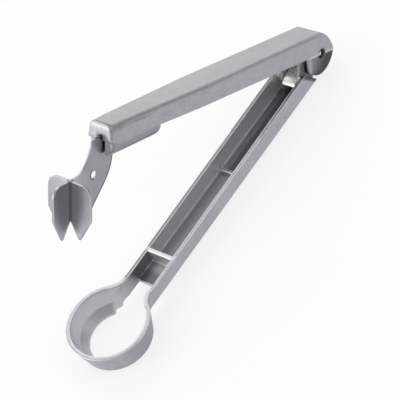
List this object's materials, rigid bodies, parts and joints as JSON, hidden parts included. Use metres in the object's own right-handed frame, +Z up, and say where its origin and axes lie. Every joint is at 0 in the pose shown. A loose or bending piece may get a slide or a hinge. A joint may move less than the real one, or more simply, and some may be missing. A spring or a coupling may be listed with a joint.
{
  "type": "plum pitter",
  "caption": "Hand-held plum pitter: two hinged cast levers, a fruit ring on the lower one, a folded cross blade on the upper one and a strip spring that opens them.",
  "frame": {"origin": "middle of the open tool's box, at the height of the table it lies on", "axes": "+X along the lower lever from the hinge to the fruit ring, +Y to the side that the picture shows, +Z up"},
  "size_m": [0.2056, 0.0402, 0.1005],
  "materials": {
    "cast_lower": "satin die casting, coated",
    "cast_upper": "satin die casting, coated",
    "pin_steel": "turned",
    "spring_steel": "bright strip",
    "blade_steel": "rolled sheet",
    "weld_steel": "weld bead"
  },
  "bodies": {
    "lower": {"lower_lever": "cast_lower", "return_spring": "spring_steel"},
    "upper": {"upper_lever": "cast_upper", "hinge_pin": "pin_steel", "blade_arm": "blade_steel", "cross_blade": "blade_steel", "spine_weld": "weld_steel", "tang_pin_front": "pin_steel", "tang_pin_rear": "pin_steel"}
  },
  "joints": [
    {"name": "lever_hinge", "type": "hinge", "parent": "lower", "child": "upper", "pos_m": [-0.09301, 0, 0.0126], "axis": [0, -1, 0], "range_deg": [-28.4, 0], "stiffness_Nm_per_rad": 0.4, "springref_deg": 25.78, "deforming": ["return_spring"]}
  ]
}
